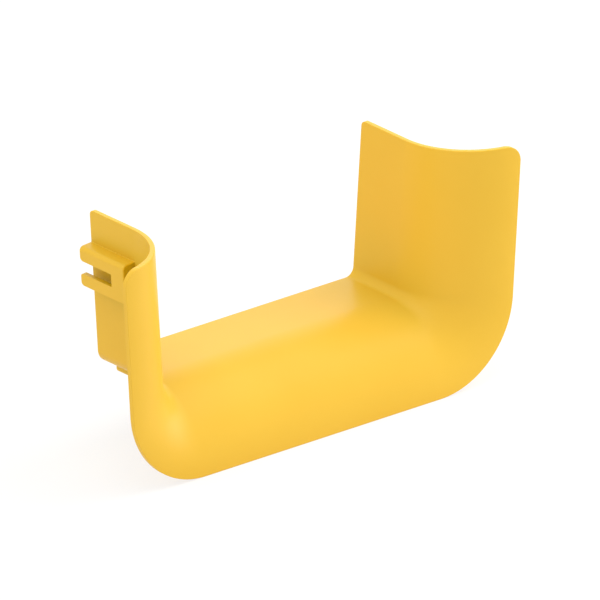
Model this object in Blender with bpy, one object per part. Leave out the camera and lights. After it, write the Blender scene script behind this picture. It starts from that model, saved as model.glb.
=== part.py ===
"""Flared exit of a fibre raceway, moulded in one piece.

A U-shaped trough whose walls lean outwards ends in a flare: the floor, both walls and both
corners roll outwards through a quarter turn, so that fibres leave it over a smooth bend.
Four clips stand on its outer faces at the back edge, two on the walls and two under the floor.

Axes: X across the trough, +Y back towards the raceway, -Y out of the flare, +Z up.
Origin: the middle of the floor's back end face.
"""

import math

import bmesh
import bpy
from mathutils import Matrix, Vector

# Trough, in metres and radians
FLOOR_WIDTH = 0.200  # between the wall lines, on the floor's upper face
WALL_HEIGHT = 0.10065  # from the floor's upper face to the rim
WALL_LEAN = math.radians(4.0)
INSIDE_CORNER_RADIUS = 0.00625
SHEET_THICKNESS = 0.00335
STRAIGHT_LENGTH = 0.0398
FLARE_RADIUS = 0.0514  # of the inside surface
FLARE_ANGLE = math.radians(90.0)

# Rounding of the trough's edges
RIM_FLAT = 0.0023  # left between the rim's two rounded arrises
END_EDGE_RADIUS = 0.0002
LIP_CORNER_RADIUS = 0.0104
BACK_CORNER_RADIUS = 0.0031

# Clips, measured from the outer face that they stand on
CLIP_STANDOFF = 0.0096  # to the plate's outer face
CLIP_LENGTH = 0.0413  # from the back edge forwards
CLIP_SETBACK = 0.00015  # of the clip's end, so that it isn't in the plane of the back edge
CLIP_PLATE_THICKNESS = 0.0032
CLIP_WIDTH = 0.0258  # from the flange's outer side to the plate's free edge
CLIP_OUTER_RADIUS = 0.0028
CLIP_ROOT_RADIUS = 0.0008
CLIP_FRONT_EDGE_RADIUS = 0.0010
WINDOW_LENGTH = 0.0293  # open at the back edge
WINDOW_WIDTH = 0.0086
WINDOW_TO_FLANGE = 0.00925  # from the flange's outer side
WINDOW_CORNER_RADIUS = 0.0008
PRONG_CORNER_RADIUS = 0.0024
ARM_CORNER_RADIUS = 0.0020
WALL_CLIP_BELOW_RIM = 0.02125  # from the rim down to the flange's outer side
FLOOR_CLIP_FROM_WALL = 0.0112  # from the wall line, under the floor, to the flange's outer side

# Overlap that roots a clip in the sheet, and overshoot of a cutting shape
ROOT_DEPTH = 0.0010
CONTACT_SINK = 0.0001
OVERSHOOT = 0.0010

# Facets
WALL_STEPS = 4
CORNER_STEPS = 12
FLOOR_STEPS = 5
STRAIGHT_STEPS = 2
FLARE_STEPS = 13
LIP_CORNER_STEPS = 6
BACK_CORNER_STEPS = 3
EDGE_STEPS = 3
CLIP_ARC_STEPS = 5
SMOOTH_ANGLE = math.radians(32.0)

# Moulded plastic
YELLOW = (0.871, 0.479, 0.055, 1.0)
ROUGHNESS = 0.42


def clear_scene():
    for old in list(bpy.data.objects):
        bpy.data.objects.remove(old)


def plastic():
    material = bpy.data.materials.new("yellow_plastic")
    material.use_nodes = True
    shader = material.node_tree.nodes["Principled BSDF"]
    shader.inputs["Base Color"].default_value = YELLOW
    shader.inputs["Roughness"].default_value = ROUGHNESS
    shader.inputs["Metallic"].default_value = 0.0
    return material


def spread(first, last, steps):
    return [first + (last - first) * i / steps for i in range(steps + 1)]


# The sheet: cross-sections of the trough, lofted from the back edge to the lip

FLOOR_TOP = SHEET_THICKNESS / 2
RIM_EDGE_RADIUS = (SHEET_THICKNESS - RIM_FLAT) / 2
CORNER_CENTRE_X = FLOOR_WIDTH / 2 - INSIDE_CORNER_RADIUS * (1 - math.sin(WALL_LEAN)) / math.cos(WALL_LEAN)
LIP_CORNER_CENTRE = FLARE_RADIUS * (1 - math.cos(FLARE_ANGLE)) - LIP_CORNER_RADIUS


def half_section(offset, rise):
    """(x, z) from the right wall's top to the floor's middle, on the profile that lies offset outside
    the trough's inside surface. rise is the wall's length above its corner arc."""
    radius = INSIDE_CORNER_RADIUS + offset
    centre_z = FLOOR_TOP + INSIDE_CORNER_RADIUS
    foot_x = CORNER_CENTRE_X + radius * math.cos(WALL_LEAN)
    foot_z = centre_z - radius * math.sin(WALL_LEAN)
    wall = [
        (foot_x + h * math.sin(WALL_LEAN), foot_z + h * math.cos(WALL_LEAN))
        for h in spread(rise, 0.0, WALL_STEPS)
    ]
    corner = [
        (CORNER_CENTRE_X + radius * math.cos(a), centre_z - radius * math.sin(a))
        for a in spread(WALL_LEAN, math.pi / 2, CORNER_STEPS)
    ]
    floor = [(x, centre_z - radius) for x in spread(CORNER_CENTRE_X, 0.0, FLOOR_STEPS)]
    return wall + corner[1:] + floor[1:]


def full_section(offset, rise):
    half = half_section(offset, rise)
    return half + [(-x, z) for x, z in reversed(half[:-1])]


def rise_to(height, offset):
    """Length of wall above its corner arc, for a top edge at this height above the floor."""
    radius = INSIDE_CORNER_RADIUS + offset
    return (height - INSIDE_CORNER_RADIUS + radius * math.sin(WALL_LEAN)) / math.cos(WALL_LEAN)


def edge_layers(radius):
    """(depth in the sheet, inset from its edge) from the inside surface to the outside one, round an
    edge with both its arrises rounded."""
    quarter = [
        (radius * (1 - math.cos(a)), radius * (1 - math.sin(a)))
        for a in spread(0.0, math.pi / 2, EDGE_STEPS)
    ]
    return quarter + [(SHEET_THICKNESS - depth, inset) for depth, inset in reversed(quarter)]


def flare_point(depth, angle):
    """(offset, y) of the surface at this depth in the sheet, after this much of the flare's turn."""
    radius = FLARE_RADIUS - depth
    return depth + radius * (1 - math.cos(angle)), -STRAIGHT_LENGTH - radius * math.sin(angle)


def back_corner_station(turn):
    """turn runs from a quarter turn at the back edge to 0 at the rim."""
    share = turn / (math.pi / 2)
    edge_radius = RIM_EDGE_RADIUS + (END_EDGE_RADIUS - RIM_EDGE_RADIUS) * share
    rows = []
    for depth, inset in edge_layers(edge_radius):
        radius = BACK_CORNER_RADIUS - inset
        y = -BACK_CORNER_RADIUS + radius * math.sin(turn)
        height = WALL_HEIGHT - BACK_CORNER_RADIUS + radius * math.cos(turn)
        rows.append((depth, y, rise_to(height, depth)))
    return rows


def straight_station(y):
    return [
        (depth, y, rise_to(WALL_HEIGHT - inset, depth))
        for depth, inset in edge_layers(RIM_EDGE_RADIUS)
    ]


def flare_station(angle):
    rows = []
    for depth, inset in edge_layers(RIM_EDGE_RADIUS):
        offset, y = flare_point(depth, angle)
        rows.append((offset, y, rise_to(WALL_HEIGHT - inset, offset)))
    return rows


def lip_corner_station(turn):
    """turn runs from the rim, at minus the lean, to a quarter turn at the lip's end."""
    share = (turn + WALL_LEAN) / (math.pi / 2 + WALL_LEAN)
    edge_radius = RIM_EDGE_RADIUS + (END_EDGE_RADIUS - RIM_EDGE_RADIUS) * share
    centre_rise = rise_to(WALL_HEIGHT - LIP_CORNER_RADIUS, LIP_CORNER_CENTRE)
    rows = []
    for depth, inset in edge_layers(edge_radius):
        radius = LIP_CORNER_RADIUS - inset
        offset = LIP_CORNER_CENTRE + radius * math.sin(turn)
        angle = math.acos((FLARE_RADIUS - offset) / (FLARE_RADIUS - depth))
        rows.append((offset, flare_point(depth, angle)[1], centre_rise + radius * math.cos(turn)))
    return rows


def sheet_stations():
    """One list of layers for each station, from the back edge to the lip. A layer is the section's
    offset, its y and its wall's rise."""
    corner_start = math.acos(1 - LIP_CORNER_CENTRE / FLARE_RADIUS)
    back = [back_corner_station(a) for a in spread(math.pi / 2, 0.0, BACK_CORNER_STEPS)]
    straight = [
        straight_station(y) for y in spread(-BACK_CORNER_RADIUS, -STRAIGHT_LENGTH, STRAIGHT_STEPS)
    ]
    flare = [flare_station(a) for a in spread(0.0, corner_start, FLARE_STEPS)]
    lip = [lip_corner_station(a) for a in spread(-WALL_LEAN, math.pi / 2, LIP_CORNER_STEPS)]
    return back + straight[1:] + flare[1:-1] + lip


def sheet_mesh():
    mesh = bmesh.new()
    stations = sheet_stations()
    points = {}
    last_station = len(stations) - 1
    last_layer = len(stations[0]) - 1
    for j, layers in enumerate(stations):
        for k, (offset, y, rise) in enumerate(layers):
            section = full_section(offset, rise)
            ends_only = 0 < k < last_layer and 0 < j < last_station
            kept = (0, len(section) - 1) if ends_only else range(len(section))
            for i in kept:
                x, z = section[i]
                points[i, j, k] = mesh.verts.new((x, y, z))
    last_point = len(section) - 1

    def strip(corners):
        mesh.faces.new([points[corner] for corner in corners])

    for j in range(last_station):
        for i in range(last_point):
            for k in (0, last_layer):
                strip(((i, j, k), (i + 1, j, k), (i + 1, j + 1, k), (i, j + 1, k)))
        for k in range(last_layer):
            for i in (0, last_point):
                strip(((i, j, k), (i, j + 1, k), (i, j + 1, k + 1), (i, j, k + 1)))
    for k in range(last_layer):
        for i in range(last_point):
            for j in (0, last_station):
                strip(((i, j, k), (i + 1, j, k), (i + 1, j, k + 1), (i, j, k + 1)))
    bmesh.ops.recalc_face_normals(mesh, faces=mesh.faces)
    return mesh


# Clips: a section with a flange and a plate, lofted along the trough, with a slot behind the plate
# and a window through it. Local axes: x out from the sheet, y across the clip with 0 at the flange's
# outer side and the plate below it, z to the back edge.


def rounded_outline(corners):
    """Points of a closed outline. Each corner is its x, its y and its fillet radius."""
    outline = []
    for i, (x, y, radius) in enumerate(corners):
        if radius == 0.0:
            outline.append((x, y))
            continue
        before, after = corners[i - 1], corners[(i + 1) % len(corners)]
        angle_in = math.atan2(before[1] - y, before[0] - x)
        angle_out = math.atan2(after[1] - y, after[0] - x)
        opening = (angle_out - angle_in + math.pi) % (2 * math.pi) - math.pi
        middle = angle_in + opening / 2
        reach = radius / math.sin(abs(opening) / 2)
        centre_x, centre_y = x + reach * math.cos(middle), y + reach * math.sin(middle)
        half_arc = (math.pi - abs(opening)) / 2
        turn = -math.copysign(half_arc, opening)
        for a in spread(middle + math.pi - turn, middle + math.pi + turn, CLIP_ARC_STEPS):
            outline.append((centre_x + radius * math.cos(a), centre_y + radius * math.sin(a)))
    return outline


def loft(rings):
    """A closed mesh through rings of as many points each, capped at both ends."""
    mesh = bmesh.new()
    rings = [[mesh.verts.new(point) for point in ring] for ring in rings]
    count = len(rings[0])
    for near, far in zip(rings, rings[1:]):
        for i in range(count):
            j = (i + 1) % count
            mesh.faces.new((near[i], near[j], far[j], far[i]))
    mesh.faces.new(rings[0])
    mesh.faces.new(rings[-1])
    bmesh.ops.recalc_face_normals(mesh, faces=mesh.faces)
    return mesh


def clip_section(inset):
    """Flange, outer fillet and plate, with the flange's root fillet on the sheet."""
    root_top = 2 * CLIP_ROOT_RADIUS
    free_edge = -CLIP_WIDTH - OVERSHOOT
    return rounded_outline(
        [
            (-ROOT_DEPTH, free_edge, 0.0),
            (CLIP_STANDOFF - inset, free_edge, 0.0),
            (CLIP_STANDOFF - inset, -inset, CLIP_OUTER_RADIUS - inset),
            (-CONTACT_SINK, -inset, CLIP_ROOT_RADIUS + inset),
            (-CONTACT_SINK, root_top, 0.0),
            (-ROOT_DEPTH, root_top, 0.0),
        ]
    )


def clip_block():
    front = [
        (
            -CLIP_LENGTH + CLIP_FRONT_EDGE_RADIUS * (1 - math.sin(a)),
            CLIP_FRONT_EDGE_RADIUS * (1 - math.cos(a)),
        )
        for a in spread(0.0, math.pi / 2, EDGE_STEPS)
    ]
    lengths = [(OVERSHOOT, 0.0)] + front
    return loft([[(x, y, z) for x, y in clip_section(inset)] for z, inset in lengths])


def clip_outline():
    """Side view of the plate: window and rounded ends of the prong above it and the arm below."""
    window_far = -WINDOW_TO_FLANGE
    window_near = window_far - WINDOW_WIDTH
    free_edge = -CLIP_WIDTH
    beyond = 3 * CLIP_ROOT_RADIUS
    end = -CLIP_SETBACK
    front = -CLIP_LENGTH - OVERSHOOT
    outline = rounded_outline(
        [
            (end, beyond, 0.0),
            (end, window_far, PRONG_CORNER_RADIUS),
            (-WINDOW_LENGTH, window_far, WINDOW_CORNER_RADIUS),
            (-WINDOW_LENGTH, window_near, WINDOW_CORNER_RADIUS),
            (end, window_near, ARM_CORNER_RADIUS),
            (end, free_edge, PRONG_CORNER_RADIUS),
            (front, free_edge, 0.0),
            (front, beyond, 0.0),
        ]
    )
    inner = -ROOT_DEPTH - OVERSHOOT
    outer = CLIP_STANDOFF + OVERSHOOT
    return loft([[(x, y, z) for z, y in outline] for x in (inner, outer)])


def clip_slot():
    """The space between the plate and the sheet, open at the back and at the free edge."""
    inner = -ROOT_DEPTH - OVERSHOOT
    plate = CLIP_STANDOFF - CLIP_PLATE_THICKNESS
    open_edge = -CLIP_WIDTH - 2 * OVERSHOOT
    flange = -CLIP_PLATE_THICKNESS
    outline = [(inner, open_edge), (plate, open_edge), (plate, flange), (inner, flange)]
    front = -CLIP_LENGTH + CLIP_PLATE_THICKNESS
    return loft([[(x, y, z) for x, y in outline] for z in (2 * OVERSHOOT, front)])


def frame_from(out, along, origin):
    """Matrix that stands a clip on a face: out is the face's normal, along points to the flange."""
    back = (0.0, 1.0, 0.0)
    columns = [(*axis, 0.0) for axis in (out, along, back)] + [(*origin, 1.0)]
    return Matrix(columns).transposed()


def left_wall_frame():
    """On the left wall's outer face, with the flange towards the rim."""
    out = Vector((-math.cos(WALL_LEAN), 0.0, -math.sin(WALL_LEAN)))
    along = Vector((-math.sin(WALL_LEAN), 0.0, math.cos(WALL_LEAN)))
    foot = Vector((-FLOOR_WIDTH / 2, 0.0, FLOOR_TOP))
    height = WALL_HEIGHT - WALL_CLIP_BELOW_RIM
    return frame_from(out, along, foot + SHEET_THICKNESS * out + height * along)


def left_floor_frame():
    """Under the floor, with the flange towards the left wall."""
    flange_x = -FLOOR_WIDTH / 2 + FLOOR_CLIP_FROM_WALL
    return frame_from((0.0, 0.0, -1.0), (-1.0, 0.0, 0.0), (flange_x, 0.0, FLOOR_TOP - SHEET_THICKNESS))


def add_object(name, mesh):
    data = bpy.data.meshes.new(name)
    mesh.to_mesh(data)
    mesh.free()
    obj = bpy.data.objects.new(name, data)
    bpy.context.scene.collection.objects.link(obj)
    return obj


def add_helper(name, mesh, frame):
    helper = add_object(name, mesh)
    helper.matrix_world = frame
    helper.hide_render = True
    helper.display_type = "WIRE"
    return helper


def add_boolean(obj, operation, other):
    boolean = obj.modifiers.new(other.name, "BOOLEAN")
    boolean.operation = operation
    boolean.solver = "EXACT"
    boolean.object = other


def add_clip(name, frame):
    """A clip on the left side, and its mirror image on the right."""
    clip = add_helper(name, clip_block(), frame)
    add_boolean(clip, "DIFFERENCE", add_helper(name + "_slot", clip_slot(), frame))
    add_boolean(clip, "INTERSECT", add_helper(name + "_outline", clip_outline(), frame))
    middle = bpy.data.objects.new(name + "_middle", None)
    bpy.context.scene.collection.objects.link(middle)
    mirror = clip.modifiers.new("right_side", "MIRROR")
    mirror.mirror_object = middle
    mirror.use_mirror_merge = False
    return clip


def fix_shape(obj):
    """Replaces the mesh by what its modifiers make of it, and shades it."""
    bpy.context.view_layer.update()
    graph = bpy.context.evaluated_depsgraph_get()
    shape = bpy.data.meshes.new_from_object(obj.evaluated_get(graph))
    shape.name = obj.name
    obj.modifiers.clear()
    obj.data = shape
    shape.shade_smooth()
    shape.set_sharp_from_angle(angle=SMOOTH_ANGLE)


def main():
    clear_scene()
    trough = add_object("flared_trough", sheet_mesh())
    add_boolean(trough, "UNION", add_clip("wall_clip", left_wall_frame()))
    add_boolean(trough, "UNION", add_clip("floor_clip", left_floor_frame()))
    fix_shape(trough)
    for helper in list(bpy.data.objects):
        if helper != trough:
            bpy.data.objects.remove(helper)
    trough.data.materials.clear()
    trough.data.materials.append(plastic())


main()
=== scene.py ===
import math

import bmesh
import bpy
from mathutils import Matrix, Vector


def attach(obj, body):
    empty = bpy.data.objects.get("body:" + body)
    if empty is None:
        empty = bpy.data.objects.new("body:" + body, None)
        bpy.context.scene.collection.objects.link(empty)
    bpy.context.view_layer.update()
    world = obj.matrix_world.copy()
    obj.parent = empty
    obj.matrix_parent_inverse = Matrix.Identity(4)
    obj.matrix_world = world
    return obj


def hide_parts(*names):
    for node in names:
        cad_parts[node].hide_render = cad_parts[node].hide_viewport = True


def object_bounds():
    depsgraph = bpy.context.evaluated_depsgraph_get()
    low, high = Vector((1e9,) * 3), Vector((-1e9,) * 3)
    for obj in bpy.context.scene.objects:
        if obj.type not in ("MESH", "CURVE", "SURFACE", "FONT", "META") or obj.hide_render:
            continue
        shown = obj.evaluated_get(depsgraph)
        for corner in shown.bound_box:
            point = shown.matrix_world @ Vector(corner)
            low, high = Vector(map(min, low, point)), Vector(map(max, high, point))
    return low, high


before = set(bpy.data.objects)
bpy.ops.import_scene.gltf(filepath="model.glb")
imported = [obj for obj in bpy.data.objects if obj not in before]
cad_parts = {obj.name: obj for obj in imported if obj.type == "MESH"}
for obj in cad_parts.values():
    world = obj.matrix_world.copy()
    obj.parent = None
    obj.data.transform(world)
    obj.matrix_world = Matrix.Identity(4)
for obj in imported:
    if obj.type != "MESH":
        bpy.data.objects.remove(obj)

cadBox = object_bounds()
print("frame loaded, CAD box", [[round(v, 4) for v in corner] for corner in cadBox])

mainScene = bpy.context.scene


def link(obj):
    mainScene.collection.objects.link(obj)
    return obj


def spread(first, last, steps):
    return [first + (last - first) * i / steps for i in range(steps + 1)]


# The trough: its cross-section is lofted from the back edge along the straight run, then rolled
# round the flare to the lip. Lengths in metres, angles in degrees.
trough = {
    "floorWidth": 0.200,  # between the wall lines, on the floor's upper face
    "wallHeight": 0.10065,
    "wallLean": 4.0,
    "insideCornerRadius": 0.00625,
    "thickness": 0.00335,
    "straightLength": 0.0398,
    "flareRadius": 0.0514,  # of the face that the fibres bend over
    "flareAngle": 90.0,
    "rimFlat": 0.0023,  # between the rim's two arrises
    "endEdgeRadius": 0.0003,
    "lipCornerRadius": 0.0104,
    "backCornerRadius": 0.0031,
    "wallFacets": 10,
    "cornerFacets": 30,
    "floorFacets": 14,
    "backCornerFacets": 8,
    "straightFacets": 5,
    "flareFacets": 44,
    "lipCornerFacets": 16,
    "edgeFacets": 6,
    "sharpFrom": 32.0,  # faces that meet at more than this are shaded apart
}

lean = math.radians(trough["wallLean"])
quarter = math.pi / 2
sheet = trough["thickness"]
floorTop = sheet / 2
rimEdge = (sheet - trough["rimFlat"]) / 2
cornerRadius = trough["insideCornerRadius"]
cornerX = trough["floorWidth"] / 2 - cornerRadius * (1 - math.sin(lean)) / math.cos(lean)
flareRadius = trough["flareRadius"]
lipRadius = trough["lipCornerRadius"]
lipCentre = flareRadius * (1 - math.cos(math.radians(trough["flareAngle"]))) - lipRadius


# Right half of a section, from the wall's top round the corner to the middle of the floor
def halfSection(offset, rise):
    radius = cornerRadius + offset
    centreZ = floorTop + cornerRadius
    footX = cornerX + radius * math.cos(lean)
    footZ = centreZ - radius * math.sin(lean)
    points = []
    for h in spread(rise, 0.0, trough["wallFacets"]):
        points.append((footX + h * math.sin(lean), footZ + h * math.cos(lean)))
    for a in spread(lean, quarter, trough["cornerFacets"])[1:]:
        points.append((cornerX + radius * math.cos(a), centreZ - radius * math.sin(a)))
    for x in spread(cornerX, 0.0, trough["floorFacets"])[1:]:
        points.append((x, centreZ - radius))
    return points


def fullSection(offset, rise):
    half = halfSection(offset, rise)
    return half + [(-x, z) for x, z in reversed(half[:-1])]


def riseTo(height, offset):  # wall above its corner, for a rim at this height
    radius = cornerRadius + offset
    return (height - cornerRadius + radius * math.sin(lean)) / math.cos(lean)


def edgeLayers(radius):  # (depth, inset) through the sheet, round an edge with two arrises
    arris = [
        (radius * (1 - math.cos(a)), radius * (1 - math.sin(a)))
        for a in spread(0.0, quarter, trough["edgeFacets"])
    ]
    return arris + [(sheet - depth, inset) for depth, inset in reversed(arris)]


def flarePoint(depth, angle):  # (offset, y) at this depth, after this much of the flare's turn
    radius = flareRadius - depth
    y = -trough["straightLength"] - radius * math.sin(angle)
    return depth + radius * (1 - math.cos(angle)), y


def backCornerStation(turn):
    share = turn / quarter
    rows = []
    for depth, inset in edgeLayers(rimEdge + (trough["endEdgeRadius"] - rimEdge) * share):
        radius = trough["backCornerRadius"] - inset
        y = -trough["backCornerRadius"] + radius * math.sin(turn)
        height = trough["wallHeight"] - trough["backCornerRadius"] + radius * math.cos(turn)
        rows.append((depth, y, riseTo(height, depth)))
    return rows


def straightStation(y):
    return [
        (depth, y, riseTo(trough["wallHeight"] - inset, depth))
        for depth, inset in edgeLayers(rimEdge)
    ]


def flareStation(angle):
    rows = []
    for depth, inset in edgeLayers(rimEdge):
        offset, y = flarePoint(depth, angle)
        rows.append((offset, y, riseTo(trough["wallHeight"] - inset, offset)))
    return rows


def lipCornerStation(turn):
    share = (turn + lean) / (quarter + lean)
    centreRise = riseTo(trough["wallHeight"] - lipRadius, lipCentre)
    rows = []
    for depth, inset in edgeLayers(rimEdge + (trough["endEdgeRadius"] - rimEdge) * share):
        radius = lipRadius - inset
        offset = lipCentre + radius * math.sin(turn)
        angle = math.acos((flareRadius - offset) / (flareRadius - depth))
        rows.append((offset, flarePoint(depth, angle)[1], centreRise + radius * math.cos(turn)))
    return rows


def troughStations():
    cornerStart = math.acos(1 - lipCentre / flareRadius)
    back = [backCornerStation(a) for a in spread(quarter, 0.0, trough["backCornerFacets"])]
    straightEnds = (-trough["backCornerRadius"], -trough["straightLength"])
    straight = [straightStation(y) for y in spread(*straightEnds, trough["straightFacets"])]
    flare = [flareStation(a) for a in spread(0.0, cornerStart, trough["flareFacets"])]
    lip = [lipCornerStation(a) for a in spread(-lean, quarter, trough["lipCornerFacets"])]
    return back + straight[1:] + flare[1:-1] + lip


def troughMesh():
    mesh = bmesh.new()
    stations = troughStations()
    lastStation, lastLayer = len(stations) - 1, len(stations[0]) - 1
    points = {}
    for j, layers in enumerate(stations):
        for k, (offset, y, rise) in enumerate(layers):
            section = fullSection(offset, rise)
            lastPoint = len(section) - 1
            rimOnly = 0 < k < lastLayer and 0 < j < lastStation
            for i in (0, lastPoint) if rimOnly else range(lastPoint + 1):
                points[i, j, k] = mesh.verts.new((section[i][0], y, section[i][1]))

    def face(*corners):
        mesh.faces.new([points[corner] for corner in corners])

    for j in range(lastStation):
        for i in range(lastPoint):  # the two broad faces
            for k in (0, lastLayer):
                face((i, j, k), (i + 1, j, k), (i + 1, j + 1, k), (i, j + 1, k))
        for k in range(lastLayer):  # the rims
            for i in (0, lastPoint):
                face((i, j, k), (i, j + 1, k), (i, j + 1, k + 1), (i, j, k + 1))
    for k in range(lastLayer):  # the back edge and the lip
        for i in range(lastPoint):
            for j in (0, lastStation):
                face((i, j, k), (i + 1, j, k), (i + 1, j, k + 1), (i, j, k + 1))
    bmesh.ops.recalc_face_normals(mesh, faces=mesh.faces)
    return mesh


# The clips: a flange and a plate in one section, lofted along the trough, with a slot behind the
# plate and a window through it. Local x is out from the sheet, y is across the clip with 0 at the
# flange's outer side, and z runs to the back edge.
clip = {
    "standoff": 0.0096,
    "length": 0.0413,
    "setback": 0.00015,  # of its end from the back edge
    "plate": 0.0032,
    "width": 0.0258,
    "outerRadius": 0.0028,
    "rootRadius": 0.0005,
    "frontEdgeRadius": 0.0010,
    "windowLength": 0.0293,
    "windowWidth": 0.0086,
    "windowToFlange": 0.00925,
    "windowCornerRadius": 0.0008,
    "prongCornerRadius": 0.0024,
    "armCornerRadius": 0.0020,
    "belowRim": 0.02125,
    "fromWallLine": 0.0112,  # for the clips under the floor
    "rootDepth": 0.0010,
    "contactSink": 0.00004,
    "softEdge": 0.00025,  # rounding of its crisp edges
    "crispFrom": 40.0,  # degrees between an edge's two faces
    "weldDistance": 0.00003,  # points nearer than this become one
    "arcFacets": 10,
    "edgeFacets": 5,
    "softFacets": 3,
}
over = 0.0010  # how far a cutting shape runs past what it cuts


# Closed outline through corners that are each (x, y, fillet radius)
def roundedOutline(corners):
    outline = []
    for i, (x, y, radius) in enumerate(corners):
        if radius == 0.0:
            outline.append((x, y))
            continue
        before, after = corners[i - 1], corners[(i + 1) % len(corners)]
        angleIn = math.atan2(before[1] - y, before[0] - x)
        angleOut = math.atan2(after[1] - y, after[0] - x)
        opening = (angleOut - angleIn + math.pi) % (2 * math.pi) - math.pi
        middle = angleIn + opening / 2
        reach = radius / math.sin(abs(opening) / 2)
        centreX, centreY = x + reach * math.cos(middle), y + reach * math.sin(middle)
        turn = -math.copysign((math.pi - abs(opening)) / 2, opening)
        for a in spread(middle + math.pi - turn, middle + math.pi + turn, clip["arcFacets"]):
            outline.append((centreX + radius * math.cos(a), centreY + radius * math.sin(a)))
    return outline


def loft(rings):  # closed mesh through rings of as many points each
    mesh = bmesh.new()
    rings = [[mesh.verts.new(point) for point in ring] for ring in rings]
    for near, far in zip(rings, rings[1:]):
        for i in range(len(near)):
            j = (i + 1) % len(near)
            mesh.faces.new((near[i], near[j], far[j], far[i]))
    mesh.faces.new(rings[0])
    mesh.faces.new(rings[-1])
    bmesh.ops.recalc_face_normals(mesh, faces=mesh.faces)
    return mesh


def clipSection(inset):
    freeEdge = -clip["width"] - over
    face = clip["standoff"] - inset
    rootTop = 2 * clip["rootRadius"]
    return roundedOutline([
        (-clip["rootDepth"], freeEdge, 0.0),
        (face, freeEdge, 0.0),
        (face, -inset, clip["outerRadius"] - inset),
        (-clip["contactSink"], -inset, clip["rootRadius"] + inset),
        (-clip["contactSink"], rootTop, 0.0),
        (-clip["rootDepth"], rootTop, 0.0),
    ])


def clipBody():
    front = [
        (-clip["length"] + clip["frontEdgeRadius"] * (1 - math.sin(a)),
         clip["frontEdgeRadius"] * (1 - math.cos(a)))
        for a in spread(0.0, quarter, clip["edgeFacets"])
    ]
    return loft([[(x, y, z) for x, y in clipSection(inset)] for z, inset in [(over, 0.0)] + front])


def clipOutline():  # seen from the side: the prong, the window and the arm
    windowFar = -clip["windowToFlange"]
    windowNear = windowFar - clip["windowWidth"]
    end = -clip["setback"]
    beyond = 3 * clip["rootRadius"]
    front = -clip["length"] - over
    outline = roundedOutline([
        (end, beyond, 0.0),
        (end, windowFar, clip["prongCornerRadius"]),
        (-clip["windowLength"], windowFar, clip["windowCornerRadius"]),
        (-clip["windowLength"], windowNear, clip["windowCornerRadius"]),
        (end, windowNear, clip["armCornerRadius"]),
        (end, -clip["width"], clip["prongCornerRadius"]),
        (front, -clip["width"], 0.0),
        (front, beyond, 0.0),
    ])
    sides = (-clip["rootDepth"] - over, clip["standoff"] + over)
    return loft([[(x, y, z) for z, y in outline] for x in sides])


def clipSlot():  # open at the back and at the free edge
    inner = -clip["rootDepth"] - over
    plate = clip["standoff"] - clip["plate"]
    openEdge = -clip["width"] - 2 * over
    flange = -clip["plate"]
    outline = [(inner, openEdge), (plate, openEdge), (plate, flange), (inner, flange)]
    ends = (2 * over, -clip["length"] + clip["plate"])
    return loft([[(x, y, z) for x, y in outline] for z in ends])


def standOn(out, along, origin):  # out is the face's normal, along points to the flange
    columns = [(*axis, 0.0) for axis in (out, along, (0.0, 1.0, 0.0))] + [(*origin, 1.0)]
    return Matrix(columns).transposed()


def leftWallFace():
    out = Vector((-math.cos(lean), 0.0, -math.sin(lean)))
    along = Vector((-math.sin(lean), 0.0, math.cos(lean)))
    foot = Vector((-trough["floorWidth"] / 2, 0.0, floorTop))
    height = trough["wallHeight"] - clip["belowRim"]
    return standOn(out, along, foot + sheet * out + height * along)


def leftFloorFace():
    flangeX = -trough["floorWidth"] / 2 + clip["fromWallLine"]
    return standOn((0.0, 0.0, -1.0), (-1.0, 0.0, 0.0), (flangeX, 0.0, floorTop - sheet))


def meshObject(name, mesh):
    data = bpy.data.meshes.new(name)
    mesh.to_mesh(data)
    mesh.free()
    return link(bpy.data.objects.new(name, data))


def boolean(obj, operation, other):
    cut = obj.modifiers.new(other.name, "BOOLEAN")
    cut.operation, cut.solver, cut.object = operation, "EXACT", other


def applyModifiers(obj):
    bpy.context.view_layer.update()
    graph = bpy.context.evaluated_depsgraph_get()
    shape = bpy.data.meshes.new_from_object(obj.evaluated_get(graph))
    obj.modifiers.clear()
    obj.data = shape


def mirroredClip(name, place):
    helpers = [meshObject(name + "Slot", clipSlot()), meshObject(name + "Outline", clipOutline())]
    moulded = meshObject(name, clipBody())
    boolean(moulded, "DIFFERENCE", helpers[0])
    boolean(moulded, "INTERSECT", helpers[1])
    applyModifiers(moulded)
    mesh = bmesh.new()
    mesh.from_mesh(moulded.data)
    bmesh.ops.remove_doubles(mesh, verts=mesh.verts, dist=clip["weldDistance"])
    crispFrom = math.radians(clip["crispFrom"])
    crisp = [e for e in mesh.edges if len(e.link_faces) == 2 and e.calc_face_angle() > crispFrom]
    bmesh.ops.bevel(
        mesh, geom=crisp, offset=clip["softEdge"], offset_type="OFFSET",
        segments=clip["softFacets"], profile=0.5,  # 0.5 is a round profile
        affect="EDGES", clamp_overlap=True, loop_slide=True,
    )
    mesh.transform(place)
    mesh.to_mesh(moulded.data)
    mesh.free()
    middle = link(bpy.data.objects.new(name + "Middle", None))
    mirror = moulded.modifiers.new("rightSide", "MIRROR")
    mirror.mirror_object, mirror.use_mirror_merge = middle, False
    applyModifiers(moulded)
    for helper in helpers + [middle]:
        bpy.data.objects.remove(helper)
    return moulded


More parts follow.
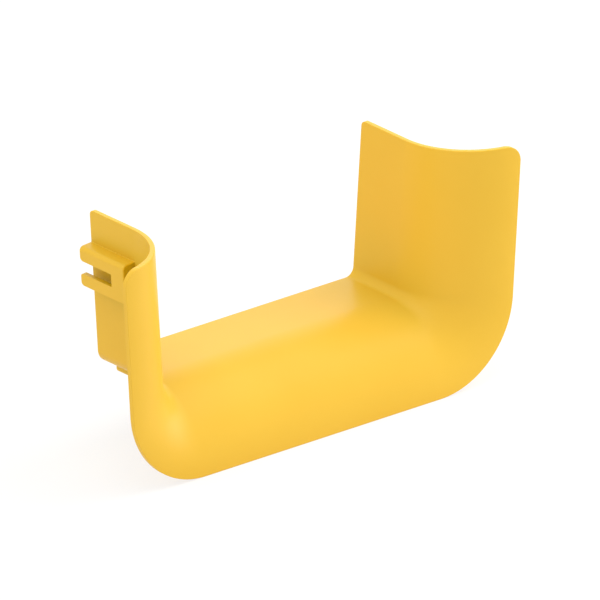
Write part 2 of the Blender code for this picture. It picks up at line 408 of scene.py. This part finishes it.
flaredTrough = meshObject("flaredTrough", troughMesh())
print("trough lofted,", len(flaredTrough.data.polygons), "faces")
clips = [mirroredClip("wallClips", leftWallFace()), mirroredClip("floorClips", leftFloorFace())]
for pair in clips:
    boolean(flaredTrough, "UNION", pair)
applyModifiers(flaredTrough)
for pair in clips:
    bpy.data.objects.remove(pair)
flaredTrough.data.shade_smooth()
flaredTrough.data.set_sharp_from_angle(angle=math.radians(trough["sharpFrom"]))
weighted = flaredTrough.modifiers.new("evenShading", "WEIGHTED_NORMAL")
weighted.keep_sharp = True
print("clips moulded on,", len(flaredTrough.data.polygons), "faces")


# The plastic: satin yellow moulding with a fine grain, a faint drift of colour, a slow waviness
# and painted shade, its colour darkened in crevices where less light reaches
plastic = {
    "colour": (0.902, 0.541, 0.050),
    "paler": (0.922, 0.564, 0.057),
    "driftPerMetre": 14.0,
    "driftDetail": 3.0,
    "noiseSpan": (0.3, 0.7),  # of the noise, spread over the two colours and over the roughness
    "paintedShadeReach": 0.060,  # metres to what closes it in, for the painted shade in crevices
    "creviceTones": {  # painted shade in crevices: by the share of open sky, times the colour
        0.25: (0.56, 0.68, 0.20),
        0.38: (0.86, 0.87, 0.22),
        0.55: (0.87, 0.91, 0.65),
        0.75: (0.89, 0.96, 0.95),
        1.00: (1.00, 1.00, 1.00),
    },
    "shine": 0.14,
    "roughness": (0.32, 0.40),
    "grainPerMetre": 2600.0,
    "grainDetail": 2.0,
    "grainStrength": 0.06,
    "grainDepth": 0.0001,
    "wavePerMetre": 45.0,
    "waveDetail": 1.0,
    "waveStrength": 0.05,
    "waveDepth": 0.001,
}


def satinPlastic(name):
    material = bpy.data.materials.new(name)
    material.use_nodes = True
    nodes, links = material.node_tree.nodes, material.node_tree.links
    shader = nodes["Principled BSDF"]
    shader.inputs["Specular IOR Level"].default_value = plastic["shine"]
    place = nodes.new("ShaderNodeTexCoord").outputs["Object"]

    def noise(scale, detail):
        node = nodes.new("ShaderNodeTexNoise")
        node.inputs["Scale"].default_value = scale
        node.inputs["Detail"].default_value = detail
        links.new(place, node.inputs["Vector"])
        return node.outputs["Fac"]

    drift = noise(plastic["driftPerMetre"], plastic["driftDetail"])
    grain = noise(plastic["grainPerMetre"], plastic["grainDetail"])
    wave = noise(plastic["wavePerMetre"], plastic["waveDetail"])

    tint = nodes.new("ShaderNodeValToRGB")
    ends = tint.color_ramp.elements
    ends[0].position, ends[1].position = plastic["noiseSpan"]
    ends[0].color = (*plastic["colour"], 1.0)
    ends[1].color = (*plastic["paler"], 1.0)
    links.new(drift, tint.inputs["Fac"])

    # Painted shade: ambient occlusion darkens the colour where the surface is closed in
    openSky = nodes.new("ShaderNodeAmbientOcclusion")
    openSky.only_local = True
    openSky.inputs["Distance"].default_value = plastic["paintedShadeReach"]
    shadeRamp = nodes.new("ShaderNodeValToRGB")
    stops = shadeRamp.color_ramp.elements
    for i, (share, shadeTone) in enumerate(plastic["creviceTones"].items()):
        stop = stops[0] if i == 0 else stops.new(share)
        stop.position, stop.color = share, (*shadeTone, 1.0)
    links.new(openSky.outputs["AO"], shadeRamp.inputs["Fac"])
    shadeMix = nodes.new("ShaderNodeMix")
    shadeMix.data_type, shadeMix.blend_type = "RGBA", "MULTIPLY"
    shadeMix.inputs["Factor"].default_value = 1.0
    tintInput, shadeInput = [socket for socket in shadeMix.inputs if socket.type == "RGBA"]
    links.new(tint.outputs["Color"], tintInput)
    links.new(shadeRamp.outputs["Color"], shadeInput)
    paintedShadeColour = [socket for socket in shadeMix.outputs if socket.enabled][0]
    links.new(paintedShadeColour, shader.inputs["Base Color"])

    sheen = nodes.new("ShaderNodeMapRange")
    sheenRange = plastic["noiseSpan"] + plastic["roughness"]
    for socket, value in zip(("From Min", "From Max", "To Min", "To Max"), sheenRange):
        sheen.inputs[socket].default_value = value
    links.new(grain, sheen.inputs["Value"])
    links.new(sheen.outputs["Result"], shader.inputs["Roughness"])

    def bump(height, strength, depth):
        node = nodes.new("ShaderNodeBump")
        node.inputs["Strength"].default_value = strength
        node.inputs["Distance"].default_value = depth
        links.new(height, node.inputs["Height"])
        return node

    waveBump = bump(wave, plastic["waveStrength"], plastic["waveDepth"])
    grainBump = bump(grain, plastic["grainStrength"], plastic["grainDepth"])
    links.new(waveBump.outputs["Normal"], grainBump.inputs["Normal"])
    links.new(grainBump.outputs["Normal"], shader.inputs["Normal"])
    return material


flaredTrough.data.materials.clear()
flaredTrough.data.materials.append(satinPlastic("satinYellowPlastic"))
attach(flaredTrough, "root")
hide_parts("flared_trough")
print("plastic applied")


# The stage: a pale floor under the lip, and plain soft light
stage = {
    "floorSize": 12.0,
    "floorGap": 0.0002,
    "floorColour": (0.80, 0.80, 0.80),
    "floorGlow": 0.72,  # what the camera sees of it besides the light that falls on it
    "floorSeen": 0.30,
    "ambient": 0.68,
    "lampDistance": 1.6,
    "lampSize": 1.3,
    "lampAim": (0.0, -0.045, 0.026),
    "softboxes": {  # degrees round from the front, degrees up, and level
        "lowRight": (72.0, 5.0, 0.60),
        "highRight": (72.0, 50.0, 0.28),
        "overhead": (290.0, 75.0, 0.24),
        "lowLeft": (270.0, 25.0, 0.12),
        "backRight": (144.0, 20.0, 0.15),
    },
}


def seenDirectly(nodes, links):  # 1 for camera, glossy and transmission rays
    path = nodes.new("ShaderNodeLightPath")
    total = path.outputs["Is Camera Ray"]
    for name in ("Is Glossy Ray", "Is Transmission Ray"):
        most = nodes.new("ShaderNodeMath")
        most.operation = "MAXIMUM"
        links.new(total, most.inputs[0])
        links.new(path.outputs[name], most.inputs[1])
        total = most.outputs[0]
    return total


def paleFloor():
    material = bpy.data.materials.new("paleFloor")
    material.use_nodes = True
    nodes, links = material.node_tree.nodes, material.node_tree.links
    nodes.remove(nodes["Principled BSDF"])
    matt = nodes.new("ShaderNodeBsdfDiffuse")
    matt.inputs["Color"].default_value = (*stage["floorColour"], 1.0)
    faint = nodes.new("ShaderNodeBsdfDiffuse")
    faint.inputs["Color"].default_value = (*[stage["floorSeen"]] * 3, 1.0)
    glow = nodes.new("ShaderNodeEmission")
    glow.inputs["Strength"].default_value = stage["floorGlow"]
    both = nodes.new("ShaderNodeAddShader")
    links.new(faint.outputs[0], both.inputs[0])
    links.new(glow.outputs[0], both.inputs[1])
    mix = nodes.new("ShaderNodeMixShader")
    links.new(seenDirectly(nodes, links), mix.inputs["Fac"])
    links.new(matt.outputs[0], mix.inputs[1])
    links.new(both.outputs[0], mix.inputs[2])
    links.new(mix.outputs[0], nodes["Material Output"].inputs["Surface"])
    return material


def addFloor():
    mesh = bmesh.new()
    bmesh.ops.create_grid(mesh, x_segments=1, y_segments=1, size=stage["floorSize"] / 2)
    floor = meshObject("paleFloor", mesh)
    floor.location.z = cadBox[0].z - stage["floorGap"]
    floor.data.materials.append(paleFloor())


def addWorld():
    world = bpy.data.worlds.new("softStudio")
    world.use_nodes = True
    nodes, links = world.node_tree.nodes, world.node_tree.links
    background = nodes["Background"]
    background.inputs["Color"].default_value = (1.0, 1.0, 1.0, 1.0)
    level = nodes.new("ShaderNodeMapRange")
    level.inputs["To Min"].default_value = stage["ambient"]
    level.inputs["To Max"].default_value = 1.0
    links.new(seenDirectly(nodes, links), level.inputs["Value"])
    links.new(level.outputs["Result"], background.inputs["Strength"])
    mainScene.world = world


def addSoftbox(name, azimuth, elevation, level):
    a, e = math.radians(azimuth), math.radians(elevation)
    towards = Vector((math.sin(a) * math.cos(e), -math.cos(a) * math.cos(e), math.sin(e)))
    lamp = bpy.data.lights.new(name, "AREA")
    lamp.shape, lamp.size = "DISK", stage["lampSize"]
    lamp.energy = level * (math.pi * stage["lampDistance"]) ** 2
    softbox = link(bpy.data.objects.new(name, lamp))
    softbox.location = Vector(stage["lampAim"]) + stage["lampDistance"] * towards
    softbox.rotation_euler = towards.to_track_quat("Z", "Y").to_euler()


addFloor()
addWorld()
for name, (azimuth, elevation, level) in stage["softboxes"].items():
    addSoftbox(name, azimuth, elevation, level)
print("stage and lamps set")


# The camera: a parallel view from the left front, a little above. Angles in degrees, metres
# otherwise.
view = {
    "turn": 40.083,
    "height": 22.922,
    "frameWidth": 0.36686,
    "toRight": 0.04437,  # of the frame's middle from the origin
    "toTop": 0.01131,
    "distance": 1.2,
    "nearest": 0.01,  # what the camera sees, from here
    "farthest": 20.0,  # to here
}


def addCamera():
    turn, height = math.radians(view["turn"]), math.radians(view["height"])
    right = Vector((math.cos(turn), -math.sin(turn), 0.0))
    back = Vector((
        -math.sin(turn) * math.cos(height), -math.cos(turn) * math.cos(height), math.sin(height),
    ))
    up = back.cross(right)
    data = bpy.data.cameras.new("mainView")
    data.type, data.ortho_scale = "ORTHO", view["frameWidth"]
    data.clip_start, data.clip_end = view["nearest"], view["farthest"]
    camera = link(bpy.data.objects.new("mainView", data))
    place = right * view["toRight"] + up * view["toTop"] + back * view["distance"]
    columns = [(*axis, 0.0) for axis in (right, up, back)] + [(*place, 1.0)]
    camera.matrix_world = Matrix(columns).transposed()
    mainScene.camera = camera


addCamera()
mainScene.view_settings.view_transform = "Standard"
print("camera set")
